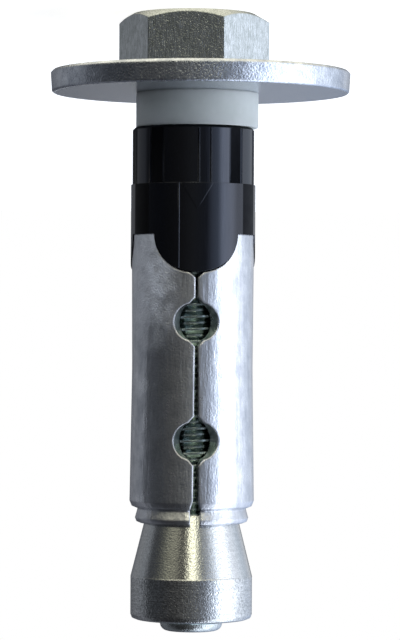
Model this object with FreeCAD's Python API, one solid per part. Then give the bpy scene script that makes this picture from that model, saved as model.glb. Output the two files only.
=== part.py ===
import FreeCAD, Part
import math
import os

os.makedirs("parts", exist_ok=True)

# Sleeve expansion anchor with a hex bolt, in millimetres.
# The anchor stands on its head: the head's top face is at z = 0 and the tip points up, along +Z.
# The seam of the steel sleeve faces -Y.

# Hex bolt
thread_diameter = 9.8
bolt_length = 68.25
head_across_flats = 16.0
head_height = 6.95
head_top_diameter = 14.9
head_chamfer_angle = 30.0
head_turn = 10.5
bearing_ring_diameter = 14.6
bearing_ring_height = 0.4
under_head_break = 0.3
tip_chamfer_height = 1.1
nose_diameter = 7.6
nose_height = 1.0
nose_easing = 0.9

# Washer
washer_diameter = 36.65
washer_thickness = 2.65
washer_bore = 13.0
washer_edge_taper = 0.17
washer_head_side_break = 0.3
washer_far_side_break = 0.18

# The drilled hole that the anchor is made for, and how much smaller than it the parts are that
# slip in. The crush sleeve's lower tier and the expansion sleeve's shoulder grip the hole.
hole_diameter = 15.0
spacer_clearance = 0.05
tier_clearance = 0.14
sleeve_top_clearance = 0.06
sleeve_waist_clearance = 0.28
nut_clearance = 0.15
hole_grip = 0.2

# Plastic spacer ring between the washer and the crush sleeve
spacer_diameter = hole_diameter - spacer_clearance
spacer_length = 4.25
spacer_bore = 11.0
spacer_edge_break = 0.12

# Loose rings hang to one side of the bolt. The shares are of the free play in their bores.
washer_side_play = 0.52
spacer_side_play = 0.75

# Plastic crush sleeve
upper_tier_diameter = hole_diameter - tier_clearance
upper_tier_length = 7.0
upper_tier_edge_break = 0.35
lower_tier_diameter = hole_diameter + hole_grip
lower_tier_length = 6.1
crush_sleeve_bore = 10.4
grip_flat_angle = 40.0
grip_flat_half_angle = 8.0
bead_radius = 0.14
bead_rise = 0.08
upper_bead_angles = (-48.5, 1.5, 13.0, 48.5)
lower_bead_angle = -17.0
arrow_width = 3.9
arrow_height = 3.2
arrow_rise = 0.12

# Expansion sleeve, rolled from a punched strip of sheet steel
sleeve_length = 35.1
sleeve_bore = 10.25
sleeve_top_diameter = hole_diameter - sleeve_top_clearance
sleeve_waist_diameter = hole_diameter - sleeve_waist_clearance
sleeve_shoulder_diameter = hole_diameter + hole_grip
lip_length = 2.7
shoulder_easing = 0.9
neck_diameter = 13.2
lip_diameter = 13.85
lip_easing = 0.6
mouth_diameter = 11.8
notch_radius = 4.7
window_diameter = 4.7
first_window_depth = 10.6
window_pitch = 14.3
seam_gap_at_notch = 0.22
seam_gap_at_mouth = 0.62
corner_break = 0.6
lip_slot_width = 1.2
lip_slot_length = 2.5
petal_count = 3

# Cone nut
nut_diameter = hole_diameter - nut_clearance
cone_half_angle = 14.0
cone_small_diameter = 11.0
nut_land_length = 5.2
nut_end_easing = 0.58
nut_bore_chamfer = 0.5

# Clearances between neighbours
thread_clearance = 0.06
tongue_clearance = 0.1
cone_seat_clearance = 0.1

# Heights of the stack, from the head's top face to the tip
washer_z = head_height
spacer_z = washer_z + washer_thickness
crush_sleeve_z = spacer_z + spacer_length
tier_step_z = crush_sleeve_z + upper_tier_length
sleeve_z = tier_step_z + lower_tier_length
mouth_z = sleeve_z + sleeve_length
tip_z = head_height + bolt_length

# The taper inside the sleeve's mouth and the taper of the nut have one slope.
cone_slope = math.tan(math.radians(cone_half_angle))
seat_depth = (mouth_diameter / 2 - cone_seat_clearance - cone_small_diameter / 2) / cone_slope
nut_z = mouth_z - seat_depth

# Lengths on the flat strip are measured where rolling doesn't stretch it, in mid wall.
sleeve_outer_radius = sleeve_top_diameter / 2
rolled_radius = (sleeve_outer_radius + sleeve_bore / 2) / 2

# Cutting shapes reach past the material that they cut by this much, and the plates that stand for
# the flat strip are this thick.
overcut = 1.0
plate_thickness = 1.0

# Arcs of the flat strip are carried to the rolled sleeve through points at most this many
# degrees apart.
sample_angle = 45.0


def revolved(points):
    """Solid of revolution about the Z axis, from corners given as (radius, z)."""
    corners = [FreeCAD.Vector(radius, 0, z) for radius, z in points]
    outline = Part.Face(Part.makePolygon(corners + corners[:1]))
    return outline.revolve(FreeCAD.Vector(0, 0, 0), FreeCAD.Vector(0, 0, 1), 360)


def eased_edge(radius, z, size):
    """Corners of a profile whose outer edge at (radius, z) is rounded by two short tapers. They
    lie on the arc of the real edge."""
    drop = size * (1 - math.sqrt(0.5))
    return [(radius, z - size), (radius - drop, z - drop), (radius - size, z)]


def tube(outer_diameter, bore, z, length):
    """Plain tube on the Z axis."""
    outer = Part.makeCylinder(outer_diameter / 2, length, FreeCAD.Vector(0, 0, z))
    inner = Part.makeCylinder(bore / 2, length, FreeCAD.Vector(0, 0, z))
    return outer.cut(inner)


def rim(shape, radius, z):
    """The circular edges of a turned shape at one radius and height."""
    found = []
    for edge in shape.Edges:
        if isinstance(edge.Curve, Part.Circle):
            same_radius = abs(edge.Curve.Radius - radius) < 1e-4
            same_height = abs(edge.Curve.Center.z - z) < 1e-4
            if same_radius and same_height:
                found.append(edge)
    return found


def turned(shape, angle):
    """A copy turned about the Z axis. Positive angles go from -Y towards -X."""
    copy = shape.copy()
    copy.rotate(FreeCAD.Vector(0, 0, 0), FreeCAD.Vector(0, 0, 1), -angle)
    return copy


def around(shape):
    """One copy of a shape for each petal of the sleeve."""
    return [turned(shape, 360.0 / petal_count * index) for index in range(petal_count)]


def make_hex_bolt():
    """Fully threaded hex bolt: its shank is plain here, at the thread's crests."""
    corner_radius_of_hex = head_across_flats / 2 / math.cos(math.radians(30))
    corners = []
    for index in range(7):
        angle = math.radians(60 * index)
        corners.append(FreeCAD.Vector(corner_radius_of_hex * math.cos(angle),
                                      corner_radius_of_hex * math.sin(angle), 0))
    hex_height = head_height - bearing_ring_height
    prism = Part.Face(Part.makePolygon(corners)).extrude(FreeCAD.Vector(0, 0, hex_height))
    prism = turned(prism, -head_turn)

    # The 30 degree chamfer is what a cone leaves of the prism.
    reach = corner_radius_of_hex + overcut
    chamfer_drop = (reach - head_top_diameter / 2) * math.tan(math.radians(head_chamfer_angle))
    chamfer = revolved([(0, 0), (head_top_diameter / 2, 0), (reach, chamfer_drop),
                        (reach, hex_height), (0, hex_height)])
    head = prism.common(chamfer)

    crest = thread_diameter / 2
    nose = nose_diameter / 2
    nose_z = tip_z - nose_height
    ring = bearing_ring_diameter / 2
    bearing_ring = [(0, hex_height), (ring, hex_height), (ring, head_height)]
    under_head = [(crest + under_head_break, head_height), (crest, head_height + under_head_break)]
    tip_chamfer = [(crest, nose_z - tip_chamfer_height), (nose, nose_z)]
    nose_end = eased_edge(nose, tip_z, nose_easing) + [(0, tip_z)]
    shank = revolved(bearing_ring + under_head + tip_chamfer + nose_end)
    return head.fuse(shank).removeSplitter()


def make_washer():
    """Punched plate washer: its edge tapers and both its corners are broken."""
    head_side = washer_diameter / 2
    far_side = head_side - washer_edge_taper
    bore = washer_bore / 2
    washer = revolved([(bore, washer_z), (head_side, washer_z), (far_side, spacer_z), (bore, spacer_z)])
    washer = washer.makeChamfer(washer_head_side_break, rim(washer, head_side, washer_z))
    washer = washer.makeChamfer(washer_far_side_break, rim(washer, far_side, spacer_z))
    return to_one_side(washer, washer_bore, washer_side_play)


def make_spacer_ring():
    """Short plastic tube that shows white between the washer and the crush sleeve."""
    spacer = tube(spacer_diameter, spacer_bore, spacer_z, spacer_length)
    edges = rim(spacer, spacer_diameter / 2, spacer_z) + rim(spacer, spacer_diameter / 2, crush_sleeve_z)
    spacer = spacer.makeChamfer(spacer_edge_break, edges)
    return to_one_side(spacer, spacer_bore, spacer_side_play)


def to_one_side(ring, bore, side_play):
    """Move a loose ring by a share of the free play in its bore, towards -X."""
    free_play = (bore - thread_diameter) / 2
    moved = ring.copy()
    moved.translate(FreeCAD.Vector(-side_play * free_play, 0, 0))
    return moved


def rolled_wire(flat_wire, depth):
    """Carry an outline of the flat strip to the plane y = -depth, so that its points lie on
    lines square to the axis. Two such wires span walls that point at the axis, as rolling leaves
    them. On the flat outline x runs along the strip's width and z along the anchor."""
    edges = []
    for edge in flat_wire.OrderedEdges:
        if isinstance(edge.Curve, Part.Line):
            ends = edge.discretize(2)
            start, end = [rolled_point(point, depth) for point in ends]
            edges.append(Part.LineSegment(start, end).toShape())
        else:
            spans = math.ceil(math.degrees(edge.Length / edge.Curve.Radius) / sample_angle)
            samples = edge.discretize(1 + max(2, spans))
            points = [rolled_point(sample, depth) for sample in samples]
            steps = [float(index) for index in range(len(points))]
            curve = Part.BSplineCurve()
            if edge.isClosed():
                curve.interpolate(Points=points[:-1], PeriodicFlag=True, Parameters=steps)
            else:
                curve.interpolate(Points=points, Parameters=steps)
            edges.append(curve.toShape())
    return Part.Wire(edges)


def rolled_point(flat_point, depth):
    """Where a point of the flat strip lies in the plane y = -depth."""
    return FreeCAD.Vector(depth * math.tan(flat_point.x / rolled_radius), -depth, flat_point.z)


def rolled_solid(flat_plate, outer_radius):
    """Solid with walls that point at the axis, from a plate that lies in the XZ plane. It runs
    from well inside the bore to past the outer radius."""
    face = min(flat_plate.Faces, key=lambda candidate: candidate.CenterOfMass.y)
    inner_depth = sleeve_bore / 6
    outer_depth = outer_radius + overcut
    inner = rolled_wire(face.OuterWire, inner_depth)
    outer = rolled_wire(face.OuterWire, outer_depth)
    return Part.makeLoft([inner, outer], True, True)


def flat_disc(radius, z):
    """Round plate in the XZ plane."""
    return Part.makeCylinder(radius, plate_thickness, FreeCAD.Vector(0, 0, z), FreeCAD.Vector(0, 1, 0))


def flat_strip(half_width_low, z_low, half_width_high, z_high):
    """Plate in the XZ plane whose width changes evenly with z."""
    corners = [FreeCAD.Vector(-half_width_low, 0, z_low), FreeCAD.Vector(half_width_low, 0, z_low),
               FreeCAD.Vector(half_width_high, 0, z_high), FreeCAD.Vector(-half_width_high, 0, z_high)]
    outline = Part.makePolygon(corners + corners[:1])
    return Part.Face(outline).extrude(FreeCAD.Vector(0, plate_thickness, 0))


def half_gap(z):
    """Half the width of the seam at a height: it opens towards the mouth."""
    share = (z - sleeve_z) / sleeve_length
    return (seam_gap_at_notch + (seam_gap_at_mouth - seam_gap_at_notch) * share) / 2


def flat_cut(gap_start_z):
    """What is punched out of the strip on one petal line past the notch: two windows, the slot in
    the lip and the gap that joins them."""
    first_z = sleeve_z + first_window_depth
    second_z = first_z + window_pitch
    end_z = mouth_z + overcut
    gap = flat_strip(half_gap(gap_start_z), gap_start_z, half_gap(end_z), end_z)
    first_window = flat_disc(window_diameter / 2, first_z)
    second_window = flat_disc(window_diameter / 2, second_z)
    slot_half_width = lip_slot_width / 2
    arch_z = mouth_z - lip_slot_length + slot_half_width
    slot = flat_strip(slot_half_width, arch_z, slot_half_width, end_z)
    arch = flat_disc(slot_half_width, arch_z)
    return gap.multiFuse([first_window, second_window, slot, arch]).removeSplitter()


def with_broken_corners(plate):
    """Break the corners of a flat cut where its gap meets a notch, a window or the lip's slot."""
    corners = []
    for edge in plate.Edges:
        middle = edge.CenterOfMass
        through_plate = abs(middle.y - plate_thickness / 2) < 1e-6
        beside_gap = 0 < abs(middle.x) < half_gap(middle.z) + 1e-3
        if through_plate and beside_gap:
            corners.append(edge)
    return plate.makeChamfer(corner_break, corners)


def make_expansion_sleeve():
    """Sheet steel sleeve: the strip is punched flat and rolled, and its edges meet at the seam.
    Its far end is necked down to a lip that holds the cone nut."""
    bore = sleeve_bore / 2
    mouth = mouth_diameter / 2
    seat_z = mouth_z - (mouth - bore) / cone_slope
    lip_z = mouth_z - lip_length
    waist_z = (sleeve_z + lip_z) / 2
    shoulder = sleeve_shoulder_diameter / 2
    neck_z = lip_z + shoulder_easing
    body = [(bore, sleeve_z), (sleeve_outer_radius, sleeve_z), (sleeve_waist_diameter / 2, waist_z)]
    shoulder_edge = eased_edge(shoulder, neck_z, shoulder_easing)
    neck = [(neck_diameter / 2, neck_z)]
    lip_edge = eased_edge(lip_diameter / 2, mouth_z, lip_easing)
    seat = [(mouth, mouth_z), (bore, seat_z)]
    sleeve = revolved(body + shoulder_edge + neck + lip_edge + seat)

    # The seam runs the whole length. On the other petal lines a web joins the petals between the
    # notch and the first window.
    notch = flat_disc(notch_radius, sleeve_z)
    first_window_z = sleeve_z + first_window_depth
    seam_cut = with_broken_corners(flat_cut(sleeve_z).fuse(notch).removeSplitter())
    petal_cut = with_broken_corners(flat_cut(first_window_z))
    seam_tool = rolled_solid(seam_cut, shoulder)
    petal_tools = around(rolled_solid(petal_cut, shoulder))[1:]
    notch_tools = around(rolled_solid(notch, shoulder))[1:]
    return sleeve.cut([seam_tool] + petal_tools + notch_tools)


def make_crush_sleeve():
    """Black plastic sleeve of two tiers. Three round tongues fill the notches of the steel sleeve
    and keep it from turning."""
    upper = tube(upper_tier_diameter, crush_sleeve_bore, crush_sleeve_z, upper_tier_length)
    upper = upper.makeChamfer(upper_tier_edge_break, rim(upper, upper_tier_diameter / 2, crush_sleeve_z))

    # A pair of grip flats flanks each petal line on the upper tier.
    upper_radius = upper_tier_diameter / 2
    flat_distance = upper_radius * math.cos(math.radians(grip_flat_half_angle))
    slab = Part.makeBox(upper_radius, overcut, upper_tier_length,
                        FreeCAD.Vector(-upper_radius / 2, -flat_distance - overcut, crush_sleeve_z))
    slabs = around(turned(slab, grip_flat_angle)) + around(turned(slab, -grip_flat_angle))
    upper = upper.cut(slabs)

    # Thin beads run along both tiers.
    beads = []
    upper_bead_z = crush_sleeve_z + upper_tier_edge_break
    upper_bead = bead(upper_radius, upper_bead_z, upper_tier_length - upper_tier_edge_break)
    for angle in upper_bead_angles:
        beads += around(turned(upper_bead, angle))
    lower_radius = lower_tier_diameter / 2
    lower_bead = bead(lower_radius, tier_step_z, lower_tier_length)
    beads += around(turned(lower_bead, lower_bead_angle))

    lower = tube(lower_tier_diameter, crush_sleeve_bore, tier_step_z, lower_tier_length)
    tongue_plate = flat_disc(notch_radius - tongue_clearance, sleeve_z)
    tongue_ring = tube(lower_tier_diameter, crush_sleeve_bore, sleeve_z, notch_radius)
    tongue = rolled_solid(tongue_plate, lower_radius).common(tongue_ring)
    tiers = upper.multiFuse([lower, make_arrow()] + beads).removeSplitter()
    return tiers.multiFuse(around(tongue))


def bead(surface_radius, z, length):
    """Thin round bead that stands out of a surface on the -Y side."""
    centre = FreeCAD.Vector(0, bead_radius - bead_rise - surface_radius, z)
    return Part.makeCylinder(bead_radius, length, centre)


def make_arrow():
    """Raised arrow head on the lower tier, over the seam, pointing at the tip."""
    surface = lower_tier_diameter / 2
    half = arrow_width / 2
    corners = [FreeCAD.Vector(-half, 0, tier_step_z), FreeCAD.Vector(half, 0, tier_step_z),
               FreeCAD.Vector(0, 0, tier_step_z + arrow_height)]
    wedge = Part.Face(Part.makePolygon(corners + corners[:1]))
    wedge = wedge.extrude(FreeCAD.Vector(0, -surface - overcut, 0))
    pad = tube(lower_tier_diameter + 2 * arrow_rise, crush_sleeve_bore + overcut, tier_step_z, arrow_height)
    return pad.common(wedge)


def make_cone_nut():
    """Round nut with a long taper that the bolt draws into the sleeve's mouth."""
    small = cone_small_diameter / 2
    large = nut_diameter / 2
    bore = thread_diameter / 2 + thread_clearance
    land_z = nut_z + (large - small) / cone_slope
    end_z = land_z + nut_land_length
    return revolved([(bore, nut_z), (small, nut_z), (large, land_z)]
                    + eased_edge(large, end_z, nut_end_easing)
                    + [(bore + nut_bore_chamfer, end_z), (bore, end_z - nut_bore_chamfer)])


pieces = {
    "hex_bolt": make_hex_bolt(),
    "washer": make_washer(),
    "spacer_ring": make_spacer_ring(),
    "crush_sleeve": make_crush_sleeve(),
    "expansion_sleeve": make_expansion_sleeve(),
    "cone_nut": make_cone_nut(),
}

for name, shape in pieces.items():
    shape.exportStep("parts/" + name + ".step")
    print(name, "valid", shape.isValid(), "solids", len(shape.Solids), "volume", round(shape.Volume, 2))
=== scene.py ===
import math

import bmesh
import bpy
from mathutils import Matrix, Vector


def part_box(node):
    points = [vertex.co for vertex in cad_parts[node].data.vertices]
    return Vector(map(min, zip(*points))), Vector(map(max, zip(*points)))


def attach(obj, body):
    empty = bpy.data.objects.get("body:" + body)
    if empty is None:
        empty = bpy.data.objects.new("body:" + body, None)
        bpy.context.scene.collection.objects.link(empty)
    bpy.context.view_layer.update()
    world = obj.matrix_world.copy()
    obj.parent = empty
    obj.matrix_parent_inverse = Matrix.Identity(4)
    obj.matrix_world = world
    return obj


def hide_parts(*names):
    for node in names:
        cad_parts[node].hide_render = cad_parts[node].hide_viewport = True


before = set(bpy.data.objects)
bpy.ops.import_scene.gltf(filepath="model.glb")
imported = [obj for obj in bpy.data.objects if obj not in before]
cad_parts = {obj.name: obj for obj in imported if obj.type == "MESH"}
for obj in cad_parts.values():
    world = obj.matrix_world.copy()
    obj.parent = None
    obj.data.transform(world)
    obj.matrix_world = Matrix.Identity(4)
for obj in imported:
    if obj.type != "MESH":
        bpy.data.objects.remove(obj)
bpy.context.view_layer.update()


# Hex bolt
#
# A forged M10 screw of zinc-plated steel. Its thread is rolled nearly up to the head and ends in
# a chamfer and a rounded nose. The head has a 30 degree chamfer on top and a raised bearing ring
# below.

MM = 0.001
thread_pitch = 1.5 * MM
crest_radius = 4.9 * MM
root_radius = 4.1 * MM
crest_share = 0.84
root_share = 0.17
thread_run_out = 2.0 * MM
steps_round_thread = 72
steps_across_thread = 13
head_across_flats = 16.0 * MM
head_top_radius = 7.45 * MM
head_chamfer = math.radians(30)
head_turn = math.radians(10.5)
head_height = 6.95 * MM
bearing_ring_radius = 7.3 * MM
bearing_ring_height = 0.4 * MM
under_head_break = 0.3 * MM
flat_turn = math.radians(60)
steps_per_flat = 24
nose_radius = 3.8 * MM
nose_height = 1.0 * MM
nose_rounding = 0.9 * MM
nose_overlap = 0.3 * MM
steps_round_nose = 96
steps_up_nose = 8
thread_foot_z = head_height - bearing_ring_height
tip_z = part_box("hex_bolt")[1][2]

# A noise texture's values mostly lie in this range.
noise_range = (0.3, 0.7)
edge_samples = 6


class Socket:
    """A socket of a node tree. Arithmetic on it adds Math nodes."""

    def __init__(self, tree, source):
        self.tree = tree
        self.source = source

    def add(self, kind, settings, values, output=0):
        """Adds any other node: its type, its settings, and the values or links of its sockets."""
        node = self.tree.nodes.new(kind)
        for name, setting in settings.items():
            if name == "stops":
                self.set_stops(node.color_ramp, setting)
            else:
                setattr(node, name, setting)
        for name, value in values.items():
            if isinstance(value, Socket):
                self.tree.links.new(value.source, node.inputs[name])
            else:
                node.inputs[name].default_value = value
        return Socket(self.tree, node.outputs[output])

    def set_stops(self, ramp, stops):
        """Gives a colour ramp its stops, as (position, colour)."""
        ramp.elements.remove(ramp.elements[1])
        ramp.elements[0].position = stops[0][0]
        ramp.elements[0].color = stops[0][1]
        for position, colour in stops[1:]:
            ramp.elements.new(position).color = colour

    def maths(self, operation, first, second=0.0):
        """Math node on two values."""
        return self.add("ShaderNodeMath", {"operation": operation}, {0: first, 1: second})

    def vector_maths(self, operation, second, output=0):
        """Vector Math node on this vector and another. Its output 1 is a plain number."""
        values = {0: self, 1: second}
        return self.add("ShaderNodeVectorMath", {"operation": operation}, values, output)

    def along(self, direction):
        """How far this vector reaches along a direction."""
        return self.vector_maths("DOT_PRODUCT", direction, output=1)

    def length(self):
        """The length of this vector."""
        return self.vector_maths("LENGTH", (0, 0, 0), output=1)

    def mix_colours(self, first, second):
        """Colour between two colours, with this value as the second one's share."""
        factor, colour_a, colour_b, colour_result = 0, 6, 7, 2
        values = {factor: self, colour_a: first, colour_b: second}
        return self.add("ShaderNodeMix", {"data_type": "RGBA"}, values, colour_result)

    def __add__(self, other):
        return self.maths("ADD", self, other)

    def __radd__(self, other):
        return self.maths("ADD", other, self)

    def __sub__(self, other):
        return self.maths("SUBTRACT", self, other)

    def __rsub__(self, other):
        return self.maths("SUBTRACT", other, self)

    def __mul__(self, other):
        return self.maths("MULTIPLY", self, other)

    def __rmul__(self, other):
        return self.maths("MULTIPLY", other, self)

    def __truediv__(self, other):
        return self.maths("DIVIDE", self, other)

    def __rtruediv__(self, other):
        return self.maths("DIVIDE", other, self)

    def spread(self, low, high, to_low, to_high):
        """This value taken evenly from one range to another, and held at its ends."""
        values = {"Value": self, "From Min": low, "From Max": high,
                  "To Min": to_low, "To Max": to_high}
        return self.add("ShaderNodeMapRange", {"clamp": True}, values)


def new_material(name):
    """An empty material, its output node, and the object coordinates that its patterns follow."""
    material = bpy.data.materials.new(name)
    material.use_nodes = True
    tree = material.node_tree
    tree.nodes.clear()
    surface = tree.nodes.new("ShaderNodeOutputMaterial").inputs["Surface"]
    place = Socket(tree, tree.nodes.new("ShaderNodeTexCoord").outputs["Object"])
    return material, surface, place


def zinc_plated_steel(name, pale, dark, roughness, mottle_size, mark_size, mark_share,
                      dent_size, dent_depth, grain_size, grain_depth, edge_radius,
                      frosting_and_painted_light=None, smoothing=None):
    """Zinc-plated steel. Cloudy mottling and brush or tool marks, whose size along X, Y and Z is
    given, run between a pale and a dark colour and between (smoothest, roughest). Shallow dents
    and a fine grain make its reflections uneven and speckled, and its edges are rounded. Two
    functions of the place on the piece give values from 0 to 1: the first frosts the plating,
    making it rougher and grainier, and also paler and less metallic, which is painted light that
    brightens that patch; the second, smoothing, takes the mottling, dents and grain away."""
    cloud_range = (0.35, 0.65)
    even_tone = 0.5
    # The frost's pale colour and its loss of metal shine are painted light that brightens the
    # patch.
    painted_light_colour = (0.95, 0.97, 1.0, 1)
    painted_light_cover = 0.9
    frost_roughness = 0.25
    frost_grain = 4
    painted_light_metal_loss = 0.8

    material, surface, place = new_material(name)
    mottle = place.add("ShaderNodeTexNoise", {},
                       {"Vector": place, "Scale": 1 / mottle_size, "Detail": 5.0,
                        "Roughness": 0.65})
    across_marks = place.vector_maths("DIVIDE", mark_size)
    marks = place.add("ShaderNodeTexNoise", {},
                      {"Vector": across_marks, "Scale": 1.0, "Detail": 3.0, "Roughness": 0.6})
    dents = place.add("ShaderNodeTexNoise", {},
                      {"Vector": place, "Scale": 1 / dent_size, "Detail": 2.5})
    grain = place.add("ShaderNodeTexNoise", {},
                      {"Vector": place, "Scale": 1 / grain_size, "Detail": 1.0, "Roughness": 0.6})
    clouds = mottle.spread(*cloud_range, 0.0, 1.0)
    lines = marks.spread(*noise_range, 0.0, 1.0)
    tone = clouds * (1 - mark_share) + lines * mark_share
    height = dents * (1 - mark_share) + lines * mark_share
    if smoothing:
        relief = 1 - smoothing(place)
        tone = tone * relief + (1 - relief) * even_tone
        height = height * relief
        grain = grain * relief
    colour = tone.mix_colours(dark, pale)
    dullness = tone.spread(0.0, 1.0, roughness[1], roughness[0])
    metalness = 1.0
    if frosting_and_painted_light:
        frost_and_painted_light = frosting_and_painted_light(place)
        # Partly real frost (roughness and grain), partly painted light: a pale colour and less
        # metal shine.
        colour = (frost_and_painted_light * painted_light_cover).mix_colours(colour, painted_light_colour)
        dullness = dullness + frost_and_painted_light * frost_roughness
        grain = grain * (1 + frost_and_painted_light * frost_grain)
        metalness = 1 - frost_and_painted_light * painted_light_metal_loss
    rounded_edges = place.add("ShaderNodeBevel", {"samples": edge_samples},
                              {"Radius": edge_radius})
    dented = place.add("ShaderNodeBump", {},
                       {"Strength": 1.0, "Distance": dent_depth, "Height": height,
                        "Normal": rounded_edges})
    grained = place.add("ShaderNodeBump", {},
                        {"Strength": 1.0, "Distance": grain_depth, "Height": grain,
                         "Normal": dented})
    metal = place.add("ShaderNodeBsdfPrincipled", {},
                      {"Base Color": colour, "Metallic": metalness, "Normal": grained,
                       "Roughness": dullness})
    material.node_tree.links.new(metal.source, surface)
    return material


bolt_steel = zinc_plated_steel(
    "bolt_steel", pale=(0.68, 0.71, 0.72, 1), dark=(0.32, 0.35, 0.335, 1), roughness=(0.11, 0.2),
    mottle_size=0.9 * MM, mark_size=(0.13 * MM, 0.13 * MM, 1.3 * MM), mark_share=0.6,
    dent_size=0.5 * MM, dent_depth=0.03 * MM, grain_size=0.18 * MM, grain_depth=0.031 * MM,
    edge_radius=0.22 * MM)
thread_steel = zinc_plated_steel(
    "thread_steel", pale=(0.58, 0.68, 0.65, 1), dark=(0.26, 0.32, 0.31, 1), roughness=(0.14, 0.26),
    mottle_size=1.4 * MM, mark_size=(1.6 * MM, 1.6 * MM, 0.4 * MM), mark_share=0.15,
    dent_size=0.8 * MM, dent_depth=0.02 * MM, grain_size=0.2 * MM, grain_depth=0.006 * MM,
    edge_radius=0.1 * MM)


def make_thread_tree():
    """Geometry nodes for a rolled thread: a strip one pitch wide is wound round the axis, turn
    on turn, and its ends are cut off level. The root and crest shares say how far up the way from
    one groove to the next ridge its sloping side starts and ends."""
    merge_distance = 0.0005 * MM
    tree = bpy.data.node_groups.new("rolled_thread", "GeometryNodeTree")
    for name, kind in (("Turns", "Float"), ("Steps Around", "Int"), ("Steps Across", "Int"),
                       ("Pitch", "Float"), ("Crest Radius", "Float"), ("Root Radius", "Float"),
                       ("Crest Share", "Float"), ("Root Share", "Float"), ("Foot", "Float"),
                       ("End", "Float"), ("End Radius", "Float"), ("Run Out", "Float"),
                       ("Finish", "Material")):
        tree.interface.new_socket(name, in_out="INPUT", socket_type="NodeSocket" + kind)
    tree.interface.new_socket("Thread", in_out="OUTPUT", socket_type="NodeSocketGeometry")
    group = tree.nodes.new("NodeGroupInput")
    given = {socket.name: Socket(tree, socket) for socket in group.outputs if socket.name}
    turns = given["Turns"]
    pitch = given["Pitch"]
    foot = given["Foot"]
    end = given["End"]

    strip = turns.add("GeometryNodeMeshGrid", {},
                      {"Size X": turns, "Size Y": 1.0,
                       "Vertices X": turns * given["Steps Around"] + 1,
                       "Vertices Y": given["Steps Across"]})
    position = turns.add("GeometryNodeInputPosition", {}, {})
    separate = tree.nodes.new("ShaderNodeSeparateXYZ")
    tree.links.new(position.source, separate.inputs[0])
    turn = Socket(tree, separate.outputs["X"]) + turns / 2
    across = Socket(tree, separate.outputs["Y"]) + 0.5

    free_z = foot + pitch * (turn + across - 1)
    z = turns.maths("MINIMUM", turns.maths("MAXIMUM", free_z, foot), end)
    phase = (z - foot) / pitch - turn + 1
    ridge = 1 - turns.maths("ABSOLUTE", 2 * phase - 1)
    groove = ridge.spread(given["Root Share"], given["Crest Share"], 1.0, 0.0)
    depth = groove * (z - foot).spread(0.0, given["Run Out"], 0.0, 1.0)
    threaded = given["Crest Radius"] - depth * (given["Crest Radius"] - given["Root Radius"])
    chamfered = given["End Radius"] + end - z
    radius = turns.maths("MINIMUM", threaded, chamfered)
    angle = turn * (2 * math.pi)
    placed = turns.add("ShaderNodeCombineXYZ", {},
                       {"X": radius * turns.maths("COSINE", angle),
                        "Y": radius * turns.maths("SINE", angle), "Z": z})
    wound = turns.add("GeometryNodeSetPosition", {}, {"Geometry": strip, "Position": placed})
    merged = turns.add("GeometryNodeMergeByDistance", {},
                       {"Geometry": wound, "Distance": merge_distance})
    realized = turns.add("GeometryNodeRealizeInstances", {}, {"Geometry": merged})
    finished = turns.add("GeometryNodeSetMaterial", {},
                         {"Geometry": realized, "Material": given["Finish"]})
    output = tree.nodes.new("NodeGroupOutput")
    tree.links.new(finished.source, output.inputs["Thread"])
    return tree


def grown_mesh(name, tree, inputs):
    """Plain mesh that a geometry nodes tree makes from its named inputs."""
    seed = bpy.data.objects.new(name, bpy.data.meshes.new(name))
    bpy.context.scene.collection.objects.link(seed)
    modifier = seed.modifiers.new(name, "NODES")
    modifier.node_group = tree
    for item in tree.interface.items_tree:
        if item.in_out == "INPUT":
            modifier[item.identifier] = inputs[item.name]
    evaluated = seed.evaluated_get(bpy.context.evaluated_depsgraph_get())
    mesh = bpy.data.meshes.new_from_object(evaluated)
    seed.modifiers.remove(modifier)
    bpy.data.objects.remove(seed)
    return mesh


def add_shell(shell, rings):
    """Joins rings of points into a closed shell. The first ring is the lowest, and each ring goes
    round against the clock seen from the tip."""
    loops = [[shell.verts.new(point) for point in ring] for ring in rings]
    for lower, upper in zip(loops, loops[1:]):
        for index in range(len(lower)):
            following = (index + 1) % len(lower)
            shell.faces.new((lower[index], lower[following], upper[following], upper[index]))
    shell.faces.new(reversed(loops[0]))
    shell.faces.new(loops[-1])


def ring_of(radii, angles, heights):
    """Ring of points at these radii, angles and heights."""
    return [(radius * math.cos(angle), radius * math.sin(angle), z)
            for radius, angle, z in zip(radii, angles, heights)]


def level_ring(radius, z, angles):
    """Round ring at one height."""
    return ring_of([radius] * len(angles), angles, [z] * len(angles))


def piece_from(shell, name, material, sharp_angle):
    """Object from a bmesh, smooth but for edges sharper than an angle in degrees."""
    mesh = bpy.data.meshes.new(name)
    shell.to_mesh(mesh)
    shell.free()
    mesh.shade_smooth()
    mesh.set_sharp_from_angle(angle=math.radians(sharp_angle))
    mesh.materials.clear()
    mesh.materials.append(material)
    piece = bpy.data.objects.new(name, mesh)
    bpy.context.scene.collection.objects.link(piece)
    return piece


nose_z = tip_z - nose_height
# Whole turns, so that the points of each turn meet those of the next, and the seam closes.
thread_turns = math.ceil((nose_z - thread_foot_z) / thread_pitch) + 1.0
thread_mesh = grown_mesh("bolt_thread", make_thread_tree(), {
    "Turns": thread_turns, "Steps Around": steps_round_thread, "Steps Across": steps_across_thread,
    "Pitch": thread_pitch, "Crest Radius": crest_radius, "Root Radius": root_radius,
    "Crest Share": crest_share, "Root Share": root_share, "Foot": thread_foot_z, "End": nose_z,
    "End Radius": nose_radius, "Run Out": thread_run_out, "Finish": thread_steel,
})
thread_shell = bmesh.new()
thread_shell.from_mesh(thread_mesh)
open_edges = [edge for edge in thread_shell.edges if edge.is_boundary]
bmesh.ops.holes_fill(thread_shell, edges=open_edges, sides=0)
shank = piece_from(thread_shell, "bolt_shank", thread_steel, sharp_angle=50)

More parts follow.
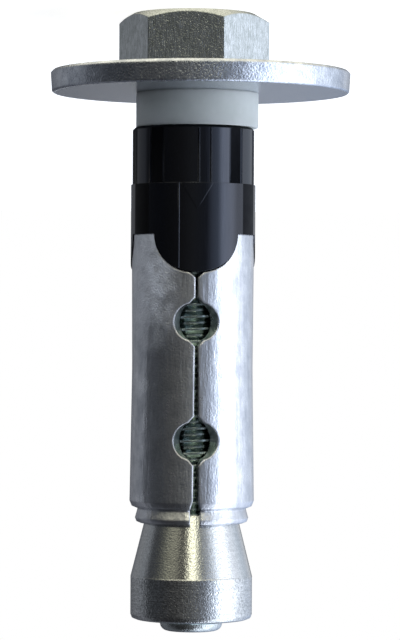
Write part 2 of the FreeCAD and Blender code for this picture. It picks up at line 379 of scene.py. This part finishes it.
nose_angles = [2 * math.pi * step / steps_round_nose for step in range(steps_round_nose)]
nose_rings = [level_ring(nose_radius, nose_z - nose_overlap, nose_angles)]
for step in range(steps_up_nose + 1):
    climb = math.pi / 2 * step / steps_up_nose
    nose_rings.append(level_ring(nose_radius - nose_rounding * (1 - math.cos(climb)),
                                 tip_z - nose_rounding * (1 - math.sin(climb)), nose_angles))
nose_shell = bmesh.new()
add_shell(nose_shell, nose_rings)
nose = piece_from(nose_shell, "bolt_nose", bolt_steel, sharp_angle=50)

hex_angles = []
hex_reach = []
for step in range(6 * steps_per_flat):
    angle = flat_turn * step / steps_per_flat
    hex_angles.append(head_turn + angle)
    hex_reach.append(head_across_flats / 2 / math.cos(angle % flat_turn - flat_turn / 2))
chamfer_z = [(reach - head_top_radius) * math.tan(head_chamfer) for reach in hex_reach]
hex_foot_z = [thread_foot_z] * len(hex_angles)
head_shell = bmesh.new()
add_shell(head_shell, [
    level_ring(head_top_radius, 0.0, hex_angles),
    ring_of(hex_reach, hex_angles, chamfer_z),
    ring_of(hex_reach, hex_angles, hex_foot_z),
    level_ring(bearing_ring_radius, thread_foot_z, hex_angles),
    level_ring(bearing_ring_radius, head_height, hex_angles),
    level_ring(crest_radius + under_head_break, head_height, hex_angles),
    level_ring(crest_radius, head_height + under_head_break, hex_angles),
])
head = piece_from(head_shell, "bolt_head", bolt_steel, sharp_angle=20)

for bolt_piece in (shank, nose, head):
    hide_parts("hex_bolt")
    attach(bolt_piece, "bolt")


# Washer
#
# A large plate washer, punched from sheet steel and zinc-plated. Punching leaves its edge rough
# and slightly tapered, and both its corners are broken. It lies loose under the bolt's head.

def smooth_copy(node, name, material, axis=(0.0, 0.0)):
    """Smooth-shaded copy of a CAD node. Faces that were turned about a vertical axis get the true
    normals of their cylinder or cone at every corner."""
    merge_distance = 0.0002 * MM
    sharp_angle = math.radians(28)
    flattest_wall = 0.2
    widest_facet = math.cos(math.radians(7))
    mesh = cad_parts[node].data.copy()
    mesh.name = name
    merged = bmesh.new()
    merged.from_mesh(mesh)
    bmesh.ops.remove_doubles(merged, verts=merged.verts, dist=merge_distance)
    merged.to_mesh(mesh)
    merged.free()
    mesh.shade_smooth()
    mesh.set_sharp_from_angle(angle=sharp_angle)
    normals = [Vector(corner.vector) for corner in mesh.corner_normals]
    for face in mesh.polygons:
        sideways = math.hypot(face.normal.x, face.normal.y)
        if sideways < flattest_wall:
            continue
        heading = Vector((face.normal.x, face.normal.y, 0)) / sideways
        spokes = {}
        for corner in face.loop_indices:
            point = mesh.vertices[mesh.loops[corner].vertex_index].co
            spokes[corner] = Vector((point.x - axis[0], point.y - axis[1], 0)).normalized()
        facing = [heading.dot(spoke) for spoke in spokes.values()]
        if min(facing) > widest_facet or max(facing) < -widest_facet:
            side = math.copysign(sideways, facing[0])
            for corner, spoke in spokes.items():
                normals[corner] = spoke * side + Vector((0, 0, face.normal.z))
    mesh.normals_split_custom_set(normals)
    mesh.materials.clear()
    mesh.materials.append(material)
    piece = bpy.data.objects.new(name, mesh)
    bpy.context.scene.collection.objects.link(piece)
    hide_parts(node)
    return piece


def middle_of(node):
    """Where a ring's own axis stands, because it hangs a little to one side of the bolt."""
    low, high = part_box(node)
    return ((low[0] + high[0]) / 2, (low[1] + high[1]) / 2)


punched_edge = (17.7 * MM, 18.0 * MM)
face_smoothness = 0.9


def rolled_faces(place):
    """The sheet's own faces are smooth, and the punched edge round them is rough."""
    middle = (*middle_of("washer"), 0.0)
    across_washer = place.vector_maths("SUBTRACT", middle).vector_maths("MULTIPLY", (1, 1, 0))
    return across_washer.length().spread(*punched_edge, face_smoothness, 0.0)


washer_steel = zinc_plated_steel(
    "washer_steel", pale=(0.76, 0.79, 0.84, 1), dark=(0.36, 0.39, 0.45, 1), roughness=(0.17, 0.33),
    mottle_size=1.8 * MM, mark_size=(0.3 * MM, 0.3 * MM, 0.25 * MM), mark_share=0.4,
    dent_size=1.2 * MM, dent_depth=0.05 * MM, grain_size=0.24 * MM, grain_depth=0.035 * MM,
    edge_radius=0.3 * MM, smoothing=rolled_faces)
washer = smooth_copy("washer", "plate_washer", washer_steel, middle_of("washer"))
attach(washer, "sleeves")


# Spacer ring
#
# A short tube of milky, unpigmented plastic, moulded in one piece. It slips over the bolt between
# the washer and the crush sleeve, and hangs loose there.

milky_dark = (0.58, 0.62, 0.58, 1)
milky_pale = (0.74, 0.77, 0.74, 1)
milky_roughness = (0.4, 0.52)
milky_light_depth = 4.0 * MM
milky_cloud_scale = 500.0
milky_grain_scale = 4000.0
milky_grain_depth = 0.01 * MM

milky_plastic, milky_surface, milky_place = new_material("milky_plastic")
milky_clouds = milky_place.add("ShaderNodeTexNoise", {},
                               {"Vector": milky_place, "Scale": milky_cloud_scale})
milky_grain = milky_place.add("ShaderNodeTexNoise", {},
                              {"Vector": milky_place, "Scale": milky_grain_scale})
milky_bump = milky_place.add("ShaderNodeBump", {},
                             {"Strength": 0.3, "Distance": milky_grain_depth,
                              "Height": milky_grain})
milky_shader = milky_place.add("ShaderNodeBsdfPrincipled", {},
                               {"Base Color": milky_clouds.mix_colours(milky_dark, milky_pale),
                                "Normal": milky_bump,
                                "Subsurface Weight": 0.8, "Subsurface Radius": (1.0, 1.0, 1.0),
                                "Subsurface Scale": milky_light_depth,
                                "Roughness": milky_clouds.spread(*noise_range, *milky_roughness)})
milky_plastic.node_tree.links.new(milky_shader.source, milky_surface)

spacer = smooth_copy("spacer_ring", "milky_spacer", milky_plastic, middle_of("spacer_ring"))
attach(spacer, "sleeves")


# Crush sleeve
#
# A sleeve of glossy black plastic, moulded in one piece in two tiers, with thin beads, a raised
# arrow head, and duller grip flats and strips. Its round tongues key into the notches of the
# steel sleeve and keep it from turning.

flat_radius = 7.395 * MM
full_radius = 7.41 * MM
tier_step_z = 20.85 * MM
tier_step_blend = 0.02 * MM
strip_count = 3
strip_edge = (11.0, 12.0)
scratch_size = (0.14 * MM, 0.14 * MM, 4.0 * MM)
scratch_range = (0.35, 0.7)
black_cloud_scale = 700.0
black_grain_scale = 6000.0
black_grain_depth = 0.006 * MM
black_edge_radius = 0.09 * MM
black_dark = (0.0004, 0.0004, 0.0008, 1)
black_pale = (0.0012, 0.0012, 0.0018, 1)
# A painted blue sheen: the plastic's reflections are tinted blue like the soft light.
painted_blue_sheen = (0.8, 0.85, 1.0, 1)
gloss_roughness = (0.08, 0.24)
gloss_level = 0.56
matte_roughness = (0.5, 0.6)
matte_level = 0.12

black_plastic, black_surface, black_place = new_material("black_plastic")
from_axis = black_place.vector_maths("MULTIPLY", (1, 1, 0)).length()
height = black_place.along((0, 0, 1))
upper_tier = height.spread(tier_step_z - tier_step_blend, tier_step_z, 1.0, 0.0)
grip_flats = from_axis.spread(flat_radius, full_radius, 1.0, 0.0) * upper_tier
to_side = black_place.along((1, 0, 0))
to_seam = black_place.along((0, -1, 0))
angle_round = black_place.maths("ARCTAN2", to_side, to_seam)
strips_round = black_place.maths("FRACT", angle_round * (strip_count / (2 * math.pi)) + strip_count)
from_strip = black_place.maths("ABSOLUTE", strips_round - 0.5) * (360 / strip_count)
dull_strips = from_strip.spread(*strip_edge, 1.0, 0.0) * (1 - upper_tier)
dull_parts = grip_flats + dull_strips
black_clouds = black_place.add("ShaderNodeTexNoise", {},
                               {"Vector": black_place, "Scale": black_cloud_scale, "Detail": 4.0})
along_scratches = black_place.vector_maths("DIVIDE", scratch_size)
black_scratches = black_place.add("ShaderNodeTexNoise", {},
                                  {"Vector": along_scratches, "Scale": 1.0, "Detail": 3.0})
black_grain = black_place.add("ShaderNodeTexNoise", {},
                              {"Vector": black_place, "Scale": black_grain_scale})
black_body = black_clouds.mix_colours(black_dark, black_pale)
black_edges = black_place.add("ShaderNodeBevel", {"samples": edge_samples},
                              {"Radius": black_edge_radius})
black_bump = black_place.add("ShaderNodeBump", {},
                             {"Strength": 0.3, "Distance": black_grain_depth,
                              "Height": black_grain, "Normal": black_edges})
black_gloss = black_place.add("ShaderNodeBsdfPrincipled", {},
                              {"Base Color": black_body, "Normal": black_bump,
                               "Roughness": black_scratches.spread(*scratch_range,
                                                                   *gloss_roughness),
                               "Specular IOR Level": gloss_level, "Specular Tint": painted_blue_sheen})
black_matte = black_place.add("ShaderNodeBsdfPrincipled", {},
                              {"Base Color": black_body, "Normal": black_bump,
                               "Roughness": black_clouds.spread(*noise_range, *matte_roughness),
                               "Specular IOR Level": matte_level, "Specular Tint": painted_blue_sheen})
black_shader = black_place.add("ShaderNodeMixShader", {},
                               {0: dull_parts, 1: black_gloss, 2: black_matte})
black_plastic.node_tree.links.new(black_shader.source, black_surface)

crush_sleeve = smooth_copy("crush_sleeve", "black_crush_sleeve", black_plastic)
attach(crush_sleeve, "sleeves")

# The bead of the lower tier runs on over each tongue to its end.
tongue_line_radius = 0.14 * MM
tongue_line_reach = 7.54 * MM
tongue_line_z = (26.9 * MM, 31.1 * MM)
tongue_line_turns = (17, 137, 257)
steps_round_line = 16

around_line = [2 * math.pi * step / steps_round_line for step in range(steps_round_line)]
line_shell = bmesh.new()
for line_turn in tongue_line_turns:
    line_x = tongue_line_reach * math.sin(math.radians(line_turn))
    line_y = -tongue_line_reach * math.cos(math.radians(line_turn))
    line_rings = []
    for line_z in tongue_line_z:
        level = level_ring(tongue_line_radius, line_z, around_line)
        line_rings.append([(line_x + x, line_y + y, z) for x, y, z in level])
    add_shell(line_shell, line_rings)
tongue_lines = piece_from(line_shell, "tongue_lines", black_plastic, sharp_angle=40)
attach(tongue_lines, "sleeves")


# Expansion sleeve
#
# Thick sheet steel, punched flat with its windows, notches and slots, then rolled so that its
# edges meet at the seam, necked at the far end, and zinc-plated.

# The frosted corner, which painted light also makes paler and less metallic.
frosted_near_seam = (1.6 * MM, 4.6 * MM)
frosted_near_side = (5.2 * MM, 7.4 * MM)
frosted_height = (34.0 * MM, 42.0 * MM)
frost_at_side = 0.3
frost_blotch = 1.5 * MM
frost_blotch_range = (0.3, 0.6)
thinnest_frost = 0.4


def frosted_corner_with_painted_light(place):
    """The plating is frosted in one corner, beside the seam and next to the notch, and painted
    light makes that corner pale and less metallic.
    """
    sideways = place.along((1, 0, 0))
    from_seam = sideways.spread(*frosted_near_seam, 0.0, 1.0)
    to_edge = sideways.spread(*frosted_near_side, 1.0, frost_at_side)
    near_notch = place.along((0, 0, 1)).spread(*frosted_height, 1.0, 0.0)
    blotches = place.add("ShaderNodeTexNoise", {},
                         {"Vector": place, "Scale": 1 / frost_blotch, "Detail": 3.0})
    patches = blotches.spread(*frost_blotch_range, thinnest_frost, 1.0)
    return from_seam * to_edge * near_notch * patches


sleeve_steel = zinc_plated_steel(
    "sleeve_steel", pale=(0.78, 0.79, 0.82, 1), dark=(0.46, 0.48, 0.52, 1), roughness=(0.24, 0.37),
    mottle_size=2.4 * MM, mark_size=(0.8 * MM, 0.8 * MM, 5.0 * MM), mark_share=0.35,
    dent_size=2.6 * MM, dent_depth=0.08 * MM, grain_size=0.25 * MM, grain_depth=0.022 * MM,
    edge_radius=0.32 * MM, frosting_and_painted_light=frosted_corner_with_painted_light)
steel_sleeve = smooth_copy("expansion_sleeve", "slotted_sleeve", sleeve_steel)
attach(steel_sleeve, "sleeves")


# Cone nut
#
# A round nut, turned from steel bar and zinc-plated. The bolt draws its long taper into the
# sleeve's mouth. The taper is smooth, and the short land beyond it is grainy and speckled.

land_foot = (68.4 * MM, 68.6 * MM)
taper_smoothness = 0.58


def turned_taper(place):
    """The taper is turned smoother than the land beyond it."""
    return place.along((0, 0, 1)).spread(*land_foot, taper_smoothness, 0.0)


nut_steel = zinc_plated_steel(
    "nut_steel", pale=(0.8, 0.81, 0.81, 1), dark=(0.26, 0.27, 0.27, 1), roughness=(0.13, 0.24),
    mottle_size=0.28 * MM, mark_size=(6.0 * MM, 6.0 * MM, 0.14 * MM), mark_share=0.3,
    dent_size=0.5 * MM, dent_depth=0.014 * MM, grain_size=0.2 * MM, grain_depth=0.044 * MM,
    edge_radius=0.2 * MM, smoothing=turned_taper)
nut = smooth_copy("cone_nut", "turned_nut", nut_steel)
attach(nut, "nut")


# Camera
#
# The photograph is taken level with the middle of the anchor, from its seam side, with the head
# up in the picture. The model stands on its head, so the camera is rolled half round.

camera_turn = math.radians(3.9)
camera_distance = 354.5 * MM
camera_height = 38.29 * MM
aim_height = 37.31 * MM
axis_offset = 0.91 * MM
lean = math.radians(0.3)
frame_height_px = 640
focal_length_px = 2900
sensor_mm = 36.0

to_camera = Vector((math.sin(camera_turn), -math.cos(camera_turn), 0))
picture_right = Vector((-math.cos(camera_turn), -math.sin(camera_turn), 0))
eye = to_camera * camera_distance + picture_right * axis_offset + Vector((0, 0, camera_height))
aim = picture_right * axis_offset + Vector((0, 0, aim_height))
forward = (aim - eye).normalized()
level_right = forward.cross(Vector((0, 0, -1))).normalized()
level_up = level_right.cross(forward)
right = level_right * math.cos(lean) + level_up * math.sin(lean)
up = level_up * math.cos(lean) - level_right * math.sin(lean)

camera_data = bpy.data.cameras.new("camera")
camera_data.sensor_width = sensor_mm
camera_data.lens = sensor_mm * focal_length_px / frame_height_px
camera = bpy.data.objects.new("camera", camera_data)
bpy.context.scene.collection.objects.link(camera)
camera.matrix_world = Matrix((
    (right.x, up.x, -forward.x, eye.x),
    (right.y, up.y, -forward.y, eye.y),
    (right.z, up.z, -forward.z, eye.z),
    (0.0, 0.0, 0.0, 1.0),
))
bpy.context.scene.camera = camera
bpy.context.scene.view_settings.view_transform = "Standard"


# Studio
#
# A white backdrop behind a small lit table. A large soft light stands to the right of the camera,
# a narrow warm one lights the nut's taper from the head's side, and the room in front and to the
# left is dim. The floor keeps a soft shadow.

# The room's light level with the anchor, high up past its tip, and low down past its head. Each
# line is an angle round the anchor, in degrees from the camera and positive to the right in the
# picture, and the red, green and blue light from there.
level_light = (
    (-180, (0.08, 0.085, 0.1)),
    (-160, (0.16, 0.17, 0.19)),
    (-140, (0.28, 0.29, 0.31)),
    (-104, (0.27, 0.29, 0.32)),
    (-96, (0.07, 0.075, 0.085)),
    (-61, (0.058, 0.064, 0.074)),
    (-40, (0.08, 0.081, 0.082)),
    (-20, (0.12, 0.12, 0.118)),
    (0, (0.19, 0.196, 0.196)),
    (26, (0.17, 0.19, 0.23)),
    (36, (0.66, 0.75, 0.92)),
    (48, (0.9, 1.06, 1.3)),
    (57, (2.9, 3.2, 3.75)),
    (76, (2.9, 3.1, 3.5)),
    (90, (1.5, 1.58, 1.75)),
    (112, (1.1, 1.2, 1.36)),
    (128, (0.78, 0.88, 1.02)),
    (142, (0.7, 0.76, 0.86)),
    (153, (0.85, 0.88, 0.94)),
    (163, (0.35, 0.37, 0.4)),
    (172, (0.1, 0.105, 0.12)),
    (180, (0.08, 0.085, 0.1)),
)
high_light = (
    (-180, (0.1, 0.11, 0.13)),
    (-150, (0.1, 0.105, 0.12)),
    (-104, (0.22, 0.23, 0.26)),
    (-96, (0.05, 0.055, 0.06)),
    (-60, (0.03, 0.03, 0.034)),
    (-18, (0.035, 0.035, 0.035)),
    (0, (0.12, 0.125, 0.13)),
    (28, (0.2, 0.21, 0.24)),
    (46, (0.9, 1.0, 1.2)),
    (58, (2.2, 2.4, 2.7)),
    (80, (2.2, 2.4, 2.7)),
    (112, (1.1, 1.2, 1.4)),
    (150, (0.7, 0.82, 1.05)),
    (180, (0.26, 0.31, 0.4)),
)
low_light = (
    (-180, (0.16, 0.16, 0.16)),
    (-100, (0.2, 0.2, 0.2)),
    (-90, (0.07, 0.075, 0.08)),
    (-72, (0.12, 0.12, 0.1)),
    (-58, (0.36, 0.36, 0.28)),
    (-46, (0.46, 0.45, 0.34)),
    (-32, (0.4, 0.39, 0.3)),
    (-24, (0.04, 0.04, 0.036)),
    (-9, (0.04, 0.04, 0.034)),
    (-3, (3.2, 3.1, 2.35)),
    (9, (3.4, 3.3, 2.5)),
    (15, (0.3, 0.31, 0.28)),
    (34, (0.45, 0.48, 0.52)),
    (50, (1.3, 1.36, 1.45)),
    (84, (1.05, 1.1, 1.2)),
    (126, (0.8, 0.86, 0.94)),
    (180, (0.16, 0.16, 0.16)),
)
# Steeply past the head the light is even and warm.
warm_light = (1.4, 1.33, 1.08, 1)
# A colour ramp only holds values up to 1, so its colours are shares of this.
brightest = 3.75
# Reflections show the white backdrop only within these angles of straight behind the anchor.
backdrop_full = -math.cos(math.radians(3))
backdrop_edge = -math.cos(math.radians(5.5))
high_light_start = math.sin(math.radians(3))
high_light_full = math.sin(math.radians(9))
low_light_start = -math.sin(math.radians(16))
low_light_full = -math.sin(math.radians(23))
warm_light_start = -math.sin(math.radians(27))
warm_light_full = -math.sin(math.radians(40))
# The floor's own glow makes it white to the camera and lights nothing.
floor_radius = 0.6
floor_colour = (0.85, 0.85, 0.85, 1)
floor_glow_level = 0.8

world = bpy.data.worlds.new("studio")
bpy.context.scene.world = world
world.use_nodes = True
world_tree = world.node_tree
world_tree.nodes.clear()
heading = Socket(world_tree, world_tree.nodes.new("ShaderNodeTexCoord").outputs["Generated"])
light_path = world_tree.nodes.new("ShaderNodeLightPath")
seen_by_camera = Socket(world_tree, light_path.outputs["Is Camera Ray"])
seen_in_gloss = Socket(world_tree, light_path.outputs["Is Glossy Ray"])
seen_through = Socket(world_tree, light_path.outputs["Is Transmission Ray"])
to_right = heading.along(picture_right)
to_front = heading.along(to_camera)
share_round = heading.maths("ARCTAN2", to_right, to_front) / (2 * math.pi) + 0.5


def lit_room(lights):
    """The room's light round the anchor, from its colours at angles from the camera, in degrees."""
    stops = []
    for degrees, colour in lights:
        stops.append(((degrees + 180) / 360, [level / brightest for level in colour] + [1.0]))
    return heading.add("ShaderNodeValToRGB", {"stops": stops}, {"Fac": share_round})


rise = heading.along((0, 0, 1))
lowness = rise.spread(low_light_full, low_light_start, 1.0, 0.0)
warmth = rise.spread(warm_light_full, warm_light_start, 1.0, 0.0)
highness = rise.spread(high_light_start, high_light_full, 0.0, 1.0)
upper_room = highness.mix_colours(lit_room(level_light), lit_room(high_light))
room = lowness.mix_colours(upper_room, lit_room(low_light))
whole_room = warmth.mix_colours(room, [level / brightest for level in warm_light])
room_light = heading.add("ShaderNodeBackground", {}, {"Color": whole_room, "Strength": brightest})
backdrop = heading.add("ShaderNodeBackground", {}, {"Color": (1, 1, 1, 1), "Strength": 1.0})
behind_anchor = to_front.spread(backdrop_full, backdrop_edge, 1.0, 0.0)
shows_backdrop = seen_by_camera + (seen_in_gloss + seen_through) * behind_anchor
seen = heading.add("ShaderNodeMixShader", {}, {0: shows_backdrop, 1: room_light, 2: backdrop})
world_output = world_tree.nodes.new("ShaderNodeOutputWorld")
world_tree.links.new(seen.source, world_output.inputs["Surface"])

pale_floor, floor_surface, floor_place = new_material("pale_floor")
floor_path = pale_floor.node_tree.nodes.new("ShaderNodeLightPath")
floor_seen = Socket(pale_floor.node_tree, floor_path.outputs["Is Camera Ray"])
floor_glow = floor_place.add("ShaderNodeEmission", {},
                             {"Color": (1, 1, 1, 1), "Strength": floor_seen * floor_glow_level})
floor_paint = floor_place.add("ShaderNodeBsdfDiffuse", {}, {"Color": floor_colour})
floor_shader = floor_place.add("ShaderNodeAddShader", {}, {0: floor_glow, 1: floor_paint})
pale_floor.node_tree.links.new(floor_shader.source, floor_surface)

floor_shell = bmesh.new()
bmesh.ops.create_circle(floor_shell, cap_ends=True, segments=64, radius=floor_radius)
floor = piece_from(floor_shell, "floor", pale_floor, sharp_angle=30)
floor.visible_glossy = False
